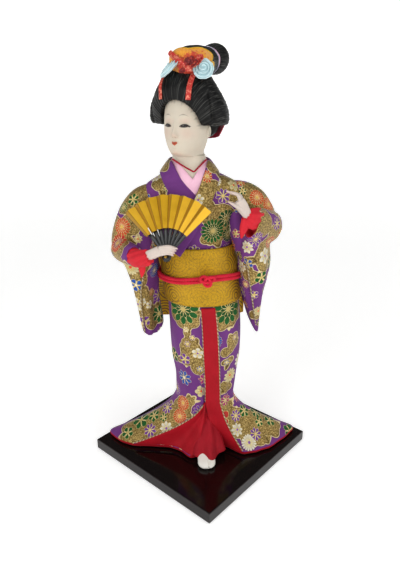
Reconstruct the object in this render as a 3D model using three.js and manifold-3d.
// A dressed geisha doll on a lacquered board, as sold for display: 302 mm tall with its board.
// Millimetres, +Z up. The figure faces -Y, its own right hand is on -X, and the board stands
// cornerwise under it. The origin is the centre of the board's underside.
import * as THREE from 'three';
import Module from 'manifold-3d';
import { mergeVertices } from 'three/addons/utils/BufferGeometryUtils.js';

const wasm = await Module();
wasm.setup();

// Driving dimensions.
const BOARD_SIDE = 120;
const BOARD_THICKNESS = 9;
const BOARD_BEVEL = 0.8;
const FIT_GAP = 0.3; // kept between pieces that touch
const BOARD_TOP = BOARD_THICKNESS + FIT_GAP;
const SKIRT_TOP = 152; // the skirt and the bodice meet here, under the sash
const ANKLE_HEIGHT = 54; // the skirt starts to flare here
const HEM_HEIGHT = 12.5;
const HEM_FOLD = 2.6; // depth of the padded hem
const SASH_BOTTOM = 132.5;
const SASH_TOP = 173.8;
const SASH_CLOTH = 1.5;
const HEAD_AXIS = [-9.2, -4]; // where the head's upright axis stands, in plan
const HEAD_TURN = 32; // degrees, towards the doll's right
const COLLAR_WIDTH = 11.5;
const COLLAR_CLOTH = 1.4;
const CORD_RADIUS = 1.25;
const CORD_HEIGHT = 151.2; // middle of the doubled cord at the sides
const CORD_RISE = 2.8; // how much higher it runs at the knot
const FAN_RADIUS = 40.2;
const FAN_LEAF_INNER = 18.6;
const FAN_FOLDS = 16;
const FAN_FIRST = 49; // degrees above the horizontal, at the doll's left end
const FAN_LAST = 140.5;
const ROUND = 24; // points round a section of the trunk
const SMALLEST_DETAIL = 0.08; // shorter edges that cuts leave are merged

const degrees = Math.PI / 180;
const vec = (x, y, z) => new THREE.Vector3(x, y, z);
const mix = (a, b, t) => a + (b - a) * t;

// Values of a table of stations at a place, worked out linearly. A station's first number is its place.
function at(stations, place) {
  const rising = stations[0][0] < stations[stations.length - 1][0] ? 1 : -1;
  let i = 1;
  while (i < stations.length - 1 && (stations[i][0] - place) * rising < 0) i += 1;
  const [low, high] = [stations[i - 1], stations[i]];
  const t = THREE.MathUtils.clamp((place - low[0]) / (high[0] - low[0]), 0, 1);
  return low.slice(1).map((value, n) => mix(value, high[n + 1], t));
}

// A horizontal oval: its points run from the front (-Y) towards +X. A fullness over 0 squares it.
function oval(x, y, z, halfWidth, halfDepth, count = ROUND, fullness = 0) {
  return Array.from({ length: count }, (_, i) => {
    const a = (2 * Math.PI * i) / count;
    const swell = 1 + fullness * Math.sin(2 * a) ** 2;
    return vec(x + halfWidth * swell * Math.sin(a), y - halfDepth * swell * Math.cos(a), z);
  });
}

function solidOf(vertices, triangles) {
  const mesh = new wasm.Mesh({ numProp: 3, vertProperties: vertices, triVerts: triangles });
  const made = new wasm.Manifold(mesh);
  if (made.volume() > 0) return made;
  for (let i = 0; i < triangles.length; i += 3)
    [triangles[i + 1], triangles[i + 2]] = [triangles[i + 2], triangles[i + 1]];
  return new wasm.Manifold(new wasm.Mesh({ numProp: 3, vertProperties: vertices, triVerts: triangles }));
}

function solidFromGeometry(geometry) {
  const bare = geometry.clone();
  for (const name of Object.keys(bare.attributes)) if (name !== 'position') bare.deleteAttribute(name);
  const merged = mergeVertices(bare, 1e-3);
  return solidOf(merged.attributes.position.array, new Uint32Array(merged.index.array));
}

// A solid lofted through closed rings of one point count. A hoop joins its last ring to its first.
function loft(rings, hoop = false) {
  const count = rings[0].length;
  const points = rings.flat();
  const faces = [];
  const bands = hoop ? rings.length : rings.length - 1;
  for (let r = 0; r < bands; r += 1) {
    const next = (r + 1) % rings.length;
    for (let i = 0; i < count; i += 1) {
      const j = (i + 1) % count;
      const [a, b, c, d] = [r * count + i, r * count + j, next * count + j, next * count + i];
      faces.push(a, b, c, a, c, d);
    }
  }
  if (!hoop) {
    for (const [r, turn] of [[0, 1], [rings.length - 1, -1]]) {
      const middle = rings[r].reduce((sum, p) => sum.add(p), vec(0, 0, 0)).divideScalar(count);
      points.push(middle);
      for (let i = 0; i < count; i += 1) {
        const [a, b] = [r * count + i, r * count + ((i + 1) % count)];
        faces.push(points.length - 1, ...(turn > 0 ? [b, a] : [a, b]));
      }
    }
  }
  return solidOf(new Float32Array(points.flatMap((p) => p.toArray())), new Uint32Array(faces));
}

// A ring of points in the plane across a path, with its first half-size along the given side.
function ringAcross(centre, along, side, halfSide, halfOther, count) {
  const across = side.clone().addScaledVector(along, -side.dot(along)).normalize();
  const other = along.clone().cross(across).normalize();
  return Array.from({ length: count }, (_, i) => {
    const a = (2 * Math.PI * i) / count;
    return centre.clone()
      .addScaledVector(across, halfSide * Math.cos(a))
      .addScaledVector(other, halfOther * Math.sin(a));
  });
}

// A limb through stations of [x, y, z, half-size along side, half-size across it].
function limb(stations, side, count = 14) {
  const centres = stations.map(([x, y, z]) => vec(x, y, z));
  return loft(stations.map((station, i) => {
    const before = centres[Math.max(0, i - 1)];
    const after = centres[Math.min(centres.length - 1, i + 1)];
    return ringAcross(centres[i], after.clone().sub(before).normalize(), side, station[3], station[4], count);
  }));
}

// A strap of a width and a thickness along points, lying on faces with the given outward normals.
function strap(points, normals, width, thickness) {
  return loft(points.map((p, i) => {
    const before = points[Math.max(0, i - 1)];
    const after = points[Math.min(points.length - 1, i + 1)];
    const along = after.clone().sub(before).normalize();
    const out = normals[i].clone().addScaledVector(along, -normals[i].dot(along)).normalize();
    const across = along.clone().cross(out);
    const wide = Array.isArray(width) ? width[i] : width;
    return [[-1, 0], [1, 0], [1, 1], [-1, 1]].map(([s, t]) => p.clone()
      .addScaledVector(across, (s * wide) / 2)
      .addScaledVector(out, t * thickness));
  }));
}

// The solid with each face moved out by a gap, as room for what lies against it.
function swollen(solid, gap) {
  const mesh = solid.getMesh();
  const n = mesh.numProp;
  const place = (i) => vec(...mesh.vertProperties.subarray(i * n, i * n + 3));
  const outward = Array.from({ length: mesh.numVert }, () => vec(0, 0, 0));
  const faces = [];
  for (let t = 0; t < mesh.triVerts.length; t += 3) {
    const corners = [...mesh.triVerts.subarray(t, t + 3)];
    const [a, b, c] = corners.map(place);
    const normal = b.sub(a).cross(c.sub(a));
    corners.forEach((corner) => outward[corner].add(normal));
    faces.push([corners, normal.clone().normalize()]);
  }
  outward.forEach((o) => o.normalize());
  const least = new Float32Array(mesh.numVert).fill(1);
  for (const [corners, normal] of faces)
    for (const corner of corners) least[corner] = Math.min(least[corner], normal.dot(outward[corner]));
  const moved = new Float32Array(mesh.numVert * 3);
  for (let i = 0; i < mesh.numVert; i += 1)
    place(i).addScaledVector(outward[i], gap / Math.max(0.45, least[i])).toArray(moved, i * 3);
  return new wasm.Manifold(new wasm.Mesh({ numProp: 3, vertProperties: moved, triVerts: mesh.triVerts }));
}

const union = (...solids) => solids.reduce((a, b) => a.add(b));
const ellipsoid = (x, y, z, a, b, c, columns = 14, rows = 9) =>
  solidFromGeometry(new THREE.SphereGeometry(1, columns, rows).scale(a, b, c).translate(x, y, z));

// The board: a square with a small bevel, standing cornerwise.
function board() {
  const half = BOARD_SIDE / 2 - BOARD_BEVEL;
  const square = new THREE.Shape([[-half, -half], [half, -half], [half, half], [-half, half]]
    .map(([x, y]) => new THREE.Vector2(x, y)));
  const depth = BOARD_THICKNESS - 2 * BOARD_BEVEL;
  const slab = new THREE.ExtrudeGeometry(square, {
    depth, bevelThickness: BOARD_BEVEL, bevelSize: BOARD_BEVEL, bevelSegments: 2,
  });
  return solidFromGeometry(slab.translate(0, 0, BOARD_BEVEL).rotateZ(45 * degrees));
}

// A split-toed sock on the board, its big toe on the inner side.
function foot(x, toeY, inner) {
  const sole = BOARD_TOP;
  const length = 31;
  // Share of the length from the toes, half-width, height of the top.
  const stations = [[0, 4.2, 3.2], [0.05, 5.8, 4.6], [0.16, 6.6, 5.6], [0.35, 6.5, 7.6], [0.6, 5.6, 11],
    [0.85, 4.9, 10], [1, 3.2, 6]];
  const body = loft(stations.map(([share, half, top]) => {
    const ring = ringAcross(vec(x, toeY + share * length, sole + top / 2), vec(0, 1, 0), vec(1, 0, 0),
      half, top / 2, 10);
    return ring.map((p) => (p.z < sole + top * 0.28 ? p.setZ(sole) : p));
  }));
  const ankle = limb([[x, toeY + 22, sole + 4, 4.6, 6], [x, toeY + 22, sole + 12, 4.3, 5],
    [x, toeY + 23, sole + 20, 4.4, 5]], vec(1, 0, 0), 8);
  const split = solidFromGeometry(new THREE.BoxGeometry(0.8, 5.5, 14)
    .translate(x + inner * 1.6, toeY + 1.2, sole + 6));
  return union(body, ankle).subtract(split);
}

// Sections of the trunk under the clothes: [height, x, y, half-width, half-depth].
const SKIRT_COLUMN = [[SKIRT_TOP, -0.8, 0, 25.2, 19.8], [133, 1.3, 0, 25.9, 20.8], [110, 2.9, 0, 26.5, 21],
  [88, 3.4, 0, 25.9, 20.6], [70, 3.7, 0, 23.4, 19.2], [ANKLE_HEIGHT, 3, -0.4, 22.3, 18.8]];
const BODICE = [[SKIRT_TOP + FIT_GAP, -0.8, 0, 25.2, 19.8], [166, -2, 0, 23.6, 18.4], [178, -2.7, 0, 24.4, 18.8],
  [190, -3.6, 0, 28.5, 19.2], [201, -4.6, 0.3, 33, 18.8], [209, -5.4, 0.6, 35.2, 17.4], [214.5, -6, 0.9, 31.5, 15.8],
  [219.5, -6.8, 1.4, 23.4, 13.8], [224, -7.6, 2, 13.6, 11.6]];

// The skirt's rays run from the front past the doll's right, back and left.
// Each has its angle at the waist and at the ankles in degrees, then the hem's x and y.
const SKIRT_RAYS = [[-10, -3.6, 4, -22], [-13, -4.2, -9, -29], [-18, -4.8, -20, -18.7], [-25, -5.4, -33, -14.5],
  [-36, -6, -53.5, -11.8], [-58, -38, -64, -6.5], [-85, -80, -73.7, 7], [-115, -118, -56, 20],
  [-147, -150, -32, 37], [-180, -180, 1, 46], [-213, -210, 34, 37], [-245, -242, 57, 18],
  [-275, -278, 75.4, 3.4], [-300, -302, 67.8, -8.1], [-320, -314, 53.1, -20.4], [-334, -324, 40.3, -25.6],
  [-345, -334, 29.9, -26.8], [-357, -350, 20, -18.9], [-367, -363, 15.8, -16.9]];
const SKIRT_LEVELS = [0, 0.42, 0.84, 1, 1.14, 1.36, 1.66, 2];
// Whole rays at the front, where they stand close, and half steps round the back.
const SIDE_RAYS = [6, 12];
const rayRow = (from, to) => {
  const step = Math.sign(to - from) / 2;
  return Array.from({ length: Math.abs(to - from) * 2 + 1 }, (_, i) => from + i * step)
    .filter((ray) => Number.isInteger(ray) || (ray > SIDE_RAYS[0] && ray < SIDE_RAYS[1]));
};
const LEFT_FACING = [1, 4]; // rays between which the doll's right front shows its lining
const RIGHT_FACING = [18, 16];
const hemCurve = new THREE.CatmullRomCurve3(
  SKIRT_RAYS.map(([, , x, y]) => vec(x, y, HEM_HEIGHT)), true, 'centripetal');

function columnPoint(angle, height) {
  const [x, y, w, d] = at(SKIRT_COLUMN, height);
  return vec(x + w * Math.sin(angle * degrees), y - d * Math.cos(angle * degrees), height);
}

// The skirt's outer surface. The level runs from 0 at the waist over 1 at the ankles to 2 at the hem.
function skirtPoint(ray, level) {
  const turn = SKIRT_RAYS.length;
  const first = Math.floor(ray) % turn;
  const next = (first + 1) % turn;
  const wrap = next === 0 ? 360 : 0;
  const down = Math.min(1, level) ** 3;
  const angle = mix(mix(SKIRT_RAYS[first][0], SKIRT_RAYS[first][1], down),
    mix(SKIRT_RAYS[next][0], SKIRT_RAYS[next][1], down) - wrap, ray - Math.floor(ray));
  if (level <= 1) return columnPoint(angle, mix(SKIRT_TOP, ANKLE_HEIGHT, level));
  const fall = level - 1;
  const ankle = columnPoint(angle, ANKLE_HEIGHT);
  const hem = hemCurve.getPoint((ray % turn) / turn);
  const spread = fall ** 1.3;
  const fold = 1 + 0.04 * Math.sin(Math.PI * fall) * Math.sin(ray * 2.1);
  return vec(mix(ankle.x, hem.x, spread) * fold, mix(ankle.y, hem.y, spread) * fold,
    mix(ankle.z, hem.z, fall));
}

// The outer skirt, filled by its padded body above the ankles and hollow like a bell below.
function kimonoSkirt() {
  const rays = rayRow(0, SKIRT_RAYS.length - 1);
  const outer = SKIRT_LEVELS.map((level) => rays.map((ray) => skirtPoint(ray, level)));
  const hemUnder = rays.map((ray) => skirtPoint(ray, 2).setZ(HEM_HEIGHT - HEM_FOLD));
  // Share of the way out from the middle, level and drop below the outer surface.
  const bell = [[0.955, 1.98, 2.6], [0.89, 1.4, 3], [0.75, 1.14, 4], [0.3, 1.1, 4]];
  const inner = bell.map(([share, level, drop]) => rays.map((ray) => {
    const p = skirtPoint(ray, level);
    return vec(mix(2.5, p.x, share), p.y * share, Math.max(p.z - drop, HEM_HEIGHT - HEM_FOLD));
  }));
  return loft([...outer, hemUnder, ...inner]);
}

// The red lining turned out along both front edges, on the same rays and levels as the skirt.
const LINING_LIFT = 1.2;
const LINING_CLOTH = 1.2;
function facing([from, to], levels) {
  const rays = rayRow(from, to);
  return loft(levels.map((level) => [LINING_LIFT + LINING_CLOTH / 2, LINING_LIFT - LINING_CLOTH / 2]
    .flatMap((lift, side) => (side ? [...rays].reverse() : rays)
      .map((ray) => skirtPoint(ray, level).add(vec(0, -lift, level > 1 ? lift * 0.55 : 0))))));
}
const liningLeft = () => facing(LEFT_FACING, SKIRT_LEVELS.filter((level) => level > 1));
const liningRight = () => facing(RIGHT_FACING, SKIRT_LEVELS.map((level) => Math.max(level, 0.21)));

// The plain red underskirt that comes out between the fronts and covers the ankle.
function underskirt() {
  const stations = [[50, 2.8, -6, 5, 9], [40, 2.8, -9, 6.5, 14.4], [30, 3, -11.5, 9, 18.6], [21, 3.6, -13.6, 11.6, 20.6],
    [14.5, 4.4, -15, 13.4, 21]];
  return loft(stations.map(([z, x, y, w, d]) => oval(x, y, z, w, d, 14)));
}

const bodice = () => loft(BODICE.map(([z, x, y, w, d]) => oval(x, y, z, w, d, 20, z > 195 ? 0.05 : 0)));

// The sash: a wide band round the waist, its drum knot behind and a doubled cord over it.
const SASH = [[SASH_BOTTOM, 1.3, 0, 28.2, 23], [153, -1, 0, 28, 22.6], [SASH_TOP, -2.3, 0, 26.4, 21.2]];
function sash() {
  const outer = SASH.map(([z, x, y, w, d]) => oval(x, y, z, w, d));
  const inner = [...SASH].reverse().map(([z, x, y, w, d]) => oval(x, y, z, w - SASH_CLOTH, d - SASH_CLOTH));
  return loft([...outer, ...inner], true);
}
function sashCord(offset) {
  const steps = 20;
  return loft(Array.from({ length: steps }, (_, i) => {
    const a = (2 * Math.PI * i) / steps;
    const z = CORD_HEIGHT + CORD_RISE * Math.max(0, Math.cos(a - 18 * degrees)) ** 4 + offset;
    const [x, y, w, d] = at(SASH, z);
    const reach = CORD_RADIUS + FIT_GAP * 3;
    const centre = vec(x + (w + reach) * Math.sin(a), y - (d + reach) * Math.cos(a), z);
    return ringAcross(centre, vec(Math.cos(a), Math.sin(a), 0), vec(Math.sin(a), -Math.cos(a), 0),
      CORD_RADIUS, CORD_RADIUS, 4);
  }), true);
}
const cordKnot = () => ellipsoid(2.3, -27.6, CORD_HEIGHT + CORD_RISE, 4.6, 2.5, 4.3, 10, 7);

// The drum knot stands against the sash's back, and the sash's end hangs out below it.
const KNOT = { halfWidth: 35, top: 170, bottom: 121, tailBottom: 107, nearY: 23.8, depth: 13 };
function sashKnot() {
  const { halfWidth, top, bottom, tailBottom, nearY, depth } = KNOT;
  const far = nearY + depth;
  const side = new THREE.Shape();
  side.moveTo(nearY + 1, tailBottom);
  side.lineTo(nearY, top - 7);
  side.quadraticCurveTo(nearY, top, nearY + depth * 0.5, top);
  side.quadraticCurveTo(far, top, far, top - 12);
  side.lineTo(far - 0.6, bottom + 8);
  side.quadraticCurveTo(far - 1, bottom, nearY + depth * 0.5, bottom);
  side.lineTo(nearY + 5.5, bottom - 1);
  side.lineTo(nearY + 4.5, tailBottom);
  const slab = new THREE.ExtrudeGeometry(side, { depth: 2 * halfWidth, bevelEnabled: false, curveSegments: 5 });
  slab.translate(0, 0, -halfWidth);
  slab.applyMatrix4(new THREE.Matrix4().makeBasis(vec(0, 1, 0), vec(0, 0, 1), vec(1, 0, 0)));
  return solidFromGeometry(slab);
}

// Collars: each is one strip from its front end up round the neck and down the other side.
// Each half is a list of middle points from the nape to the front end.
const COLLAR_RIGHT = [[-8.3, 18, 226], [-17, 15.4, 226.2], [-22.6, 8.6, 226.4], [-24, 0, 226.6], [-22.6, -7.2, 225.6],
  [-19.8, -12.4, 221.6], [-17.2, -14.8, 217], [-13.3, -17, 212.3], [-8.8, -18.9, 207.4], [-3.6, -20, 200.4]];
const COLLAR_LEFT = [[-8.3, 18, 226], [0.4, 15.4, 226.2], [6, 8.6, 226.3], [7.8, 0.4, 226.2], [7, -6.8, 224.8],
  [5.3, -12.2, 220.6], [3.6, -15.4, 216], [1.1, -18.2, 210], [-2.4, -20.4, 202.4], [-7.6, -21.6, 193],
  [-13.4, -22, 183.4], [-20, -21.6, 173]];
const UNDER_RIGHT = [[-8.3, 14.8, 228], [-17, 11.6, 228.2], [-20.6, 1, 228.6], [-18.4, -8.6, 226.4],
  [-13, -14, 220.6], [-4.6, -17.6, 211]];
const UNDER_LEFT = [[-8.3, 14.8, 228], [0.4, 11.6, 228.2], [4, 1, 228.4], [2.4, -9, 226], [-2, -14.6, 219.6],
  [-8, -17.6, 210]];
const NECK = vec(-8, 2, 0);
function collarHalf(points, width, thickness) {
  const places = points.map((p) => vec(...p));
  const outward = places.map((p) => {
    const chest = THREE.MathUtils.clamp((224 - p.z) / 10, 0, 1);
    const round = vec(p.x - NECK.x, p.y - NECK.y, 0).setLength(0.8).setZ(0.6);
    return round.lerp(vec((p.x - NECK.x) * 0.03, -1, 0.3), chest).normalize();
  });
  return strap(places, outward, width, thickness);
}
const collar = (right, left, width, thickness) =>
  union(collarHalf(right, width, thickness), collarHalf(left, width, thickness));
const kimonoCollar = () => collar(COLLAR_RIGHT, COLLAR_LEFT, COLLAR_WIDTH, COLLAR_CLOTH);
const underCollar = () => collar(UNDER_RIGHT, UNDER_LEFT, 8.5, 1.1);
function collarPiping() {
  const line = [[-19.8, -8, 232.2], [-13.4, -14, 228.7], [-6, -17.2, 224.9], [-2, -14, 228.3], [2.7, -8, 231.7]];
  const places = line.map((p) => vec(...p));
  return strap(places, places.map(() => vec(0, -1, 0.3)), 1.1, 1);
}

// Head and neck, in the head's own frame: x to its left, f forward.
function headFrame(x, f, z) {
  const [c, s] = [Math.cos(HEAD_TURN * degrees), Math.sin(HEAD_TURN * degrees)];
  return vec(HEAD_AXIS[0] + x * c - f * s, HEAD_AXIS[1] - x * s - f * c, z);
}
const headward = (x, f, z) => headFrame(x, f, z).sub(headFrame(0, 0, 0));
function headRing(z, halfWidth, front, back, shift = 0, count = 20) {
  return Array.from({ length: count }, (_, i) => {
    const a = (2 * Math.PI * i) / count;
    const c = Math.cos(a);
    return headFrame(halfWidth * Math.sin(a), shift + (c > 0 ? front : back) * c, z);
  });
}
// Height, half-width, reach to the front, reach to the back.
const SKULL = [[214, 11, 9, 9.6], [222, 10.4, 8.8, 9.2], [230.6, 9.4, 8.2, 8.8], [233.8, 8.8, 9, 8.4], [235, 7, 13.6, 8],
  [237, 9, 15.8, 7.6], [240, 11.3, 16.6, 7.4], [244, 13.3, 16.8, 8.6], [250, 14.6, 16.4, 11], [257, 14.4, 16.2, 14.5],
  [265, 13.4, 15.6, 15.5], [272, 11, 12.8, 14], [279, 6, 7, 8]];
function head() {
  const nose = headFrame(0, 16.8, 248.6);
  const ears = [-1, 1].map((side) => {
    const ear = headFrame(side * 14, -1.5, 249.4);
    return ellipsoid(ear.x, ear.y, ear.z, 1.8, 2.3, 3.8, 7, 4);
  });
  return union(loft(SKULL.map(([z, w, f, b]) => headRing(z, w, f, b, 0, 14))),
    ellipsoid(nose.x, nose.y, nose.z, 1.5, 1.7, 2.8, 6, 4), ...ears);
}
// A plainer, slightly larger form of the head, which is the room that hair and collars leave for it.
function headRoom() {
  const rings = SKULL.filter((_, i) => i % 2 === 0);
  return loft(rings.map(([z, w, f, b], i) => {
    const grow = z < 232 ? 0.8 : 1.4;
    return headRing(z + (i ? 0.5 : -1), w + grow, f + grow, b + grow, 0, 10);
  }));
}

// The wig: a full dome cut open in an arch round the face, with the nape lobe behind.
const WIG = [[253.4, 27, 10, 21], [257, 27.8, 12.4, 22], [262, 27, 15, 22.5], [268, 24.4, 18, 21.5],
  [274, 20.6, 18.6, 19], [280, 16.6, 16, 15.5], [285, 12.6, 12, 12.5], [288, 7, 7, 7.5]];
const NAPE = [[254.5, 18, 7, 15], [250, 16.5, 6, 14], [246, 12.5, 5, 11], [243.6, 6, 3, 6]];
function wig() {
  const dome = loft(WIG.map(([z, w, f, b]) => headRing(z, w, f, b, 0, 18)));
  const nape = loft(NAPE.map(([z, w, f, b]) => headRing(z, w, f, b, -8.5, 10)));
  const arch = new THREE.Shape();
  arch.moveTo(-13.6, 245);
  arch.lineTo(-13.6, 255);
  arch.quadraticCurveTo(-12.6, 268.8, 0, 268.8);
  arch.quadraticCurveTo(12.6, 268.8, 13.6, 255);
  arch.lineTo(13.6, 245);
  const tunnel = new THREE.ExtrudeGeometry(arch, { depth: 40, bevelEnabled: false, curveSegments: 4 });
  tunnel.applyMatrix4(new THREE.Matrix4()
    .makeBasis(headward(1, 0, 0), vec(0, 0, 1), headward(0, 1, 0)).setPosition(headFrame(0, 2, 0)));
  return union(dome.subtract(solidFromGeometry(tunnel)), nape);
}
// A place on the front of the wig's surface.
function onWig(x, z, out) {
  const [w, f] = at(WIG, z);
  return headFrame(x, f * Math.sqrt(1 - (x / w) ** 2) + out, z);
}

// The topknot: a roll of hair that runs back over the crown, waisted by its cord.
// Its stations are how far back they stand, then their sideways place, height, half-width and half-height.
const TOPKNOT = [[-12.5, 3.6, 287.4, 5, 4], [-9, 3.6, 288, 9.6, 7.4], [-3, 3.6, 288.8, 11.6, 9],
  [5, 3.6, 289.4, 11.2, 9.2], [12, 3.6, 290.6, 10, 8.8], [19, 3.7, 292, 8.6, 8], [21.5, 3.8, 292.4, 8, 7.4],
  [24, 3.8, 292.8, 9.2, 8.8], [30, 3.9, 293.2, 9.9, 9.7], [34.6, 3.8, 293, 8.2, 7.8], [37.2, 3.8, 292.8, 4.4, 4.2]];
function topknotRing([back, x, z, halfWidth, halfHeight], grow = 0, count = 12) {
  return ringAcross(headFrame(x, -back, z), headward(0, -1, 0), headward(1, 0, 0), halfWidth + grow,
    halfHeight + grow, count);
}
const topknot = () => loft(TOPKNOT.map((station) => topknotRing(station)));
function topknotCord() {
  const [back, x, z, w, h] = TOPKNOT[6];
  const steps = 12;
  return loft(Array.from({ length: steps }, (_, i) => {
    const a = (2 * Math.PI * i) / steps;
    const out = headward(Math.cos(a), 0, Math.sin(a));
    const centre = headFrame(x, -back, z).add(headward((w + 1.7) * Math.cos(a), 0, (h + 1.7) * Math.sin(a)));
    return ringAcross(centre, headward(-Math.sin(a), 0, Math.cos(a)), out, 0.9, 1.1, 4);
  }), true);
}
function topknotCloth() {
  const covered = TOPKNOT.slice(0, 4);
  const outer = covered.map((station) => topknotRing(station, 1.6));
  const inner = covered.map((station) => topknotRing(station, 0.6)).reverse();
  outer[0] = topknotRing([-14.2, 3.6, 287.4, 5.6, 4.6]);
  inner[3] = topknotRing([-13.1, 3.6, 287.4, 6, 5]);
  return loft([...outer, ...inner]);
}
function napeRibbon() {
  const turns = [-62, -40, -14, 14, 40, 62].map((turn) => turn * degrees);
  const points = turns.map((a) =>
    headFrame(19.6 * Math.sin(a), -6 - 18.6 * Math.cos(a), mix(252.4, 248.4, Math.cos(a) ** 2)));
  return strap(points, turns.map((a) => headward(Math.sin(a), -Math.cos(a), -0.5)), 7.4, 1.4);
}

// Satin roses on both sides of the topknot, and the coral ribbon with its two tails.
function rose(side) {
  const profile = [[0, -2.4], [5.4, -2.2], [7.4, -0.2], [5.2, 0.7], [4.4, 2.6], [0, 2.8]];
  const bud = new THREE.LatheGeometry(profile.map(([r, h]) => new THREE.Vector2(r, h)), 10);
  const out = side > 0 ? headward(0.45, 0.78, 0.4) : headward(-0.5, 0.2, 0.84);
  bud.applyQuaternion(new THREE.Quaternion().setFromUnitVectors(vec(0, 1, 0), out.normalize()));
  const place = side > 0 ? headFrame(15.8, 8.4, 285.5) : headFrame(-6, 11.6, 285.2);
  return solidFromGeometry(bud.translate(place.x, place.y, place.z));
}
const BOW_KNOT = [10.2, 16.2, 286];
function bowLoop(middle, end, width) {
  const points = [BOW_KNOT, middle, end].map((place) => headFrame(...place));
  return strap(points, points.map(() => headward(0, 1, 0.45).normalize()), width, 1.6);
}
function bow() {
  const knot = headFrame(...BOW_KNOT);
  return union(ellipsoid(knot.x, knot.y, knot.z, 2, 1.8, 2, 8, 5),
    bowLoop([4.4, 15.6, 289.8], [-3.5, 13.2, 295], [3, 3.4, 3.8]),
    bowLoop([13, 14, 288.9], [15, 11, 292.4], [3, 4.6, 5]));
}
function bowTail([topX, topZ], [lowX, lowZ], width) {
  const places = [0, 0.35, 0.7, 1].map((t) => [mix(topX, lowX, t), mix(topZ, lowZ, t)]);
  return strap(places.map(([x, z]) => onWig(x, z, 0.8)),
    places.map(([x]) => headward(x / 30, 1, 0.4).normalize()), width, 0.8);
}

// Sleeves: an upper arm, a forearm and the long bag that hangs from it.
function bag(stations) {
  return loft(stations.map(([z, fx, fy, bx, by, half]) => {
    const [front, back] = [vec(fx, fy, z), vec(bx, by, z)];
    const reach = back.clone().sub(front);
    return ringAcross(front.clone().lerp(back, 0.5), vec(0, 0, -1), reach.clone().normalize(),
      reach.length() / 2, half, 10);
  }));
}
function rightSleeve() {
  const upper = limb([[-20, 1.4, 205.6, 12, 10.4], [-31, 1.2, 205, 12, 10.6], [-39, 0.8, 202.4, 12, 11],
    [-45.6, 0, 195.6, 11.6, 10.8], [-49.6, -1.6, 186, 11, 11], [-52.6, -3, 175, 9.6, 10.4], [-53, -4, 167, 6, 8]],
  vec(0, 1, 0), 8);
  const forearm = limb([[-56.5, -2, 172, 6, 7], [-54.5, -8, 171.6, 8.6, 8.6], [-50.5, -18, 171.8, 8, 7.2],
    [-45.8, -28.4, 172.6, 7, 5.6]], vec(0, 0, 1), 8);
  const hanging = bag([[172, -54, -22, -36, 6, 8], [158, -49.5, -20, -33.4, 8, 8], [142, -46, -16.5, -33.4, 9, 6.6],
    [124, -44, -13, -31, 9, 4.6], [109, -42.4, -9.5, -28.6, 7.4, 3.4], [102.8, -39.5, -5, -33, 3, 1]]);
  return union(upper, forearm, hanging);
}
function leftSleeve() {
  const upper = limb([[14, 1.4, 206, 12, 10.6], [26, 1.2, 205.4, 12, 10.8], [34, 0.8, 202.4, 11.4, 10.6],
    [40.6, 0.4, 195.6, 10.6, 9.6], [46.4, -0.2, 188, 8.4, 7.6], [52.6, -1, 183, 5, 5]], vec(0, 1, 0), 8);
  const forearm = limb([[52.5, 0.5, 183.5, 6.4, 5.4], [48.5, -5, 184.5, 11, 7], [41, -14.5, 188, 11.6, 6.6],
    [31.5, -25.5, 192.6, 11, 5.6]], vec(0.45, 0.3, 1), 8);
  const hanging = bag([[187, 29.5, -26, 46, 2, 6], [174, 30, -24, 44, 5, 9], [160, 32.6, -21.4, 41.6, 8.6, 11],
    [147, 33.6, -19.4, 40.4, 9, 9.6], [135, 35, -16.6, 39.4, 8.6, 7.4], [119, 37.4, -12.6, 39.6, 6, 4.4],
    [104.6, 41, -7.5, 41.6, -2, 1]]);
  return union(upper, forearm, hanging);
}

// Red sleeves of the under-robe, seen at both wrists.
function rightCuff() {
  const band = limb([[-47.2, -26, 171.8, 5.6, 4.2], [-44, -29.6, 172, 5.8, 4], [-39.4, -33.4, 173.2, 5.2, 3.4]],
    vec(0, 0, 1), 10);
  const tip = bag([[170, -44.6, -31.6, -38.6, -30.8, 1.8], [164, -43.4, -31.2, -39, -30.6, 1.4],
    [158, -42.2, -30.8, -41, -30.4, 0.6]]);
  return union(band, tip);
}
function leftCuff() {
  const band = limb([[35.4, -22.4, 194.4, 7.8, 4.4], [31.4, -27.2, 196.6, 7, 4.2], [27.4, -29.4, 199.6, 4.8, 3.6]],
    vec(0.45, 0.3, 1), 10);
  const tip = bag([[197, 23.4, -29.6, 30.6, -28.4, 2.2], [190, 22.6, -30, 28, -28.6, 1.8],
    [183.6, 23.2, -29.8, 25, -28.8, 0.8]]);
  return union(band, tip);
}

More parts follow.
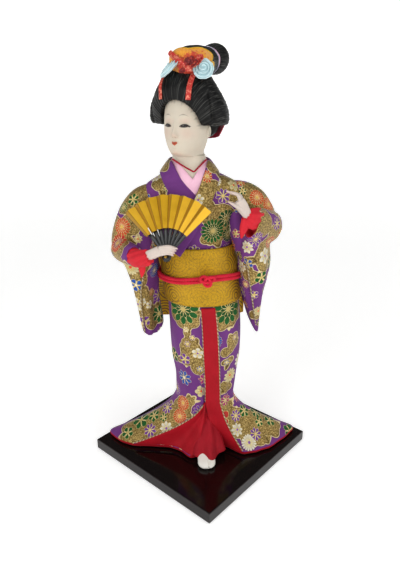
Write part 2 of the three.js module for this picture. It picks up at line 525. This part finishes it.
// Hands: the right one closed over the fan's sticks, the left one raised with thumb and fingers apart.
function rightHand() {
  const palm = limb([[-45, -32, 172, 3, 2.6], [-41, -34.6, 173.6, 3.1, 2.4], [-35, -38.6, 176.6, 3.3, 2.1],
    [-29, -41.4, 180, 3.4, 1.9]], vec(-0.4, 0, 1), 10);
  const fingers = [0, 1, 2, 3].map((n) => {
    const z = 182.6 - n * 1.5;
    return limb([[-29.4, -41.4, z - 0.6, 1.1, 1.4], [-23.6 - n * 0.2, -42.7, z + 0.5, 1, 1.3],
      [-17.6 - n * 0.9, -41.8, z - 1.4, 0.55, 0.7]], vec(0, 0, 1), 5);
  });
  return union(palm, ...fingers);
}
function leftHand() {
  const palm = limb([[29.6, -28.4, 196.6, 3, 2.4], [26.6, -29.6, 200.8, 3.3, 2.2], [23.6, -31, 205.4, 3.9, 2],
    [21.6, -32, 209.2, 3.4, 1.7]], vec(1, 0, 0.5), 10);
  const fingers = [0, 1, 2, 3].map((n) => limb([[22.6 + n * 0.5, -31.8 + n * 0.9, 208.4, 1.2, 1.3],
    [20.4 + n * 0.5, -33 + n, 213 - n * 0.3, 1.1, 1.1], [13 + n * 1.2, -34.2 + n, 215.6 - n * 0.8, 0.5, 0.5]],
  vec(0, 1, 0), 5));
  const thumb = limb([[24.4, -31, 203, 1.9, 1.8], [18.8, -33.4, 206.4, 1.3, 1.2], [14.2, -34.8, 209.2, 0.5, 0.5]],
    vec(0, 1, 0), 5);
  return union(palm, thumb, ...fingers);
}

// The folding fan: pleated gilt leaf on black sticks that turn on one rivet.
const FAN_PIVOT = vec(-25.2, -38.4, 174.9);
const FAN_SWING = 20 * degrees; // its right end lies further back
const FAN_LEAN = 25 * degrees; // its top leans back
const FAN_SIDE = vec(Math.cos(FAN_SWING), -Math.sin(FAN_SWING), 0);
const FAN_FACE = vec(-Math.sin(FAN_SWING), -Math.cos(FAN_SWING), 0)
  .multiplyScalar(Math.cos(FAN_LEAN)).setZ(Math.sin(FAN_LEAN));
const FAN_UP = FAN_SIDE.clone().cross(FAN_FACE).negate();
const onFan = (angle, radius, out = 0) => FAN_PIVOT.clone()
  .addScaledVector(FAN_SIDE, radius * Math.cos(angle * degrees))
  .addScaledVector(FAN_UP, radius * Math.sin(angle * degrees))
  .addScaledVector(FAN_FACE, out);
// A round pin across the fan at its pivot, from one depth to another.
function fanPin(radius, low, high, count) {
  const pin = new THREE.CylinderGeometry(radius, radius, high - low, count).translate(0, (high + low) / 2, 0);
  pin.applyQuaternion(new THREE.Quaternion().setFromUnitVectors(vec(0, 1, 0), FAN_FACE));
  return solidFromGeometry(pin.translate(FAN_PIVOT.x, FAN_PIVOT.y, FAN_PIVOT.z));
}
function foldAngle(n) {
  const pair = (FAN_LAST - FAN_FIRST) / (FAN_FOLDS / 2);
  return FAN_FIRST + Math.floor(n / 2) * pair + (n % 2) * pair * 0.68;
}
function fanLeaf() {
  const paper = 0.35;
  const rings = [];
  for (let n = 0; n < FAN_FOLDS; n += 1) {
    const out = n % 2 ? 1.5 : 0;
    const angle = foldAngle(n);
    rings.push([onFan(angle, FAN_LEAF_INNER, out * 0.5 - paper), onFan(angle, FAN_RADIUS, out - paper),
      onFan(angle, FAN_RADIUS, out + paper), onFan(angle, FAN_LEAF_INNER, out * 0.5 + paper)]);
  }
  return loft(rings);
}
function fanSticks() {
  // The sticks lie on one another like stairs, so they make one stepped sector with a round end.
  const sector = [];
  const sticks = FAN_FOLDS / 2;
  for (let n = 0; n < sticks; n += 1) {
    for (const edge of [0, 1]) {
      const angle = mix(FAN_FIRST + 2, FAN_LAST - 2, (n + edge) / sticks);
      const low = -2.6 + (edge ? 0.45 : 0);
      sector.push([onFan(angle, 2.2, low), onFan(angle, FAN_LEAF_INNER + 3, low),
        onFan(angle, FAN_LEAF_INNER + 3, low + 0.8), onFan(angle, 2.2, low + 0.8)]);
    }
  }
  return union(loft(sector), fanPin(3, -2.6, -1, 8));
}
const fanRivet = () => fanPin(0.9, -3.2, 1, 8);

const finish = (color, roughness, metalness = 0) => new THREE.MeshStandardMaterial({ color, roughness, metalness });
const lacquer = finish('#140c0c', 0.12);
const skin = finish('#e9dfd0', 0.45);
const brocade = finish('#7a4690', 0.7);
const redSilk = finish('#c21f2c', 0.55);
const pinkSilk = finish('#e6a9d2', 0.6);
const goldBrocade = finish('#c59d1c', 0.45, 0.4);
const redCord = finish('#e0283c', 0.7);
const hair = finish('#121212', 0.4);
const gilt = finish('#d9a914', 0.3, 0.7);
const blackStick = finish('#15181a', 0.35);
const dyedCloth = finish('#d9631b', 0.7);
const satin = finish('#c4e8ea', 0.4);
const coralRibbon = finish('#dd5a4e', 0.5);
const sockCotton = finish('#efebe2', 0.8);

// Pieces in order of claim: a later piece gives way where it would meet an earlier one.
const PIECES = [
  ['board', board(), lacquer],
  ['foot_right', foot(2.8, -41, 1), sockCotton],
  ['head', head(), skin, headRoom()],
  ['hand_right', rightHand(), skin],
  ['hand_left', leftHand(), skin],
  ['fan_rivet', fanRivet(), gilt],
  ['fan_leaf', fanLeaf(), gilt],
  ['fan_sticks', fanSticks(), blackStick],
  ['wig', wig(), hair],
  ['rose_right', rose(-1), satin],
  ['topknot', topknot(), hair],
  ['topknot_cord', topknotCord(), pinkSilk],
  ['topknot_cloth', topknotCloth(), dyedCloth],
  ['bow', bow(), coralRibbon],
  ['rose_left', rose(1), satin],
  ['bow_tail_left', bowTail([10.6, 283], [10.3, 268.6], 3.8), coralRibbon],
  ['bow_tail_right', bowTail([-9.8, 280], [-8.6, 268.8], 2.4), coralRibbon],
  ['nape_ribbon', napeRibbon(), redSilk],
  ['bodice', bodice(), brocade],
  ['underskirt', underskirt(), redSilk],
  ['skirt', kimonoSkirt(), brocade],
  ['sash_cord_knot', cordKnot(), redCord],
  ['sash_cord_upper', sashCord(1.6), redCord],
  ['sash_cord_lower', sashCord(-1.6), redCord],
  ['sash', sash(), goldBrocade],
  ['sash_knot', sashKnot(), goldBrocade],
  ['kimono_collar', kimonoCollar(), brocade],
  ['under_collar', underCollar(), pinkSilk],
  ['collar_piping', collarPiping(), redSilk],
  ['cuff_right', rightCuff(), redSilk],
  ['cuff_left', leftCuff(), redSilk],
  ['lining_right', liningRight(), redSilk],
  ['lining_left', liningLeft(), redSilk],
  ['sleeve_right', rightSleeve(), brocade],
  ['sleeve_left', leftSleeve(), brocade],
];

function apart(a, b) {
  const [p, q] = [a.boundingBox(), b.boundingBox()];
  return [0, 1, 2].some((i) => p.min[i] > q.max[i] || q.min[i] > p.max[i]);
}
function largest(solid) {
  return solid.decompose().reduce((a, b) => (a.volume() > b.volume() ? a : b));
}

const doll = new THREE.Group();
const placed = [];
for (const [name, raw, material, room] of PIECES) {
  let solid = raw;
  for (const taken of placed) if (!apart(solid, taken)) solid = solid.subtract(taken);
  solid = largest(solid.simplify(SMALLEST_DETAIL));
  placed.push((room ?? swollen(solid, FIT_GAP)).add(solid));
  const { vertProperties, triVerts } = solid.getMesh();
  const geometry = new THREE.BufferGeometry();
  geometry.setAttribute('position', new THREE.BufferAttribute(vertProperties, 3));
  geometry.setIndex(new THREE.BufferAttribute(triVerts, 1));
  geometry.computeVertexNormals();
  const mesh = new THREE.Mesh(geometry, material);
  mesh.name = name;
  doll.add(mesh);
}

export default doll;
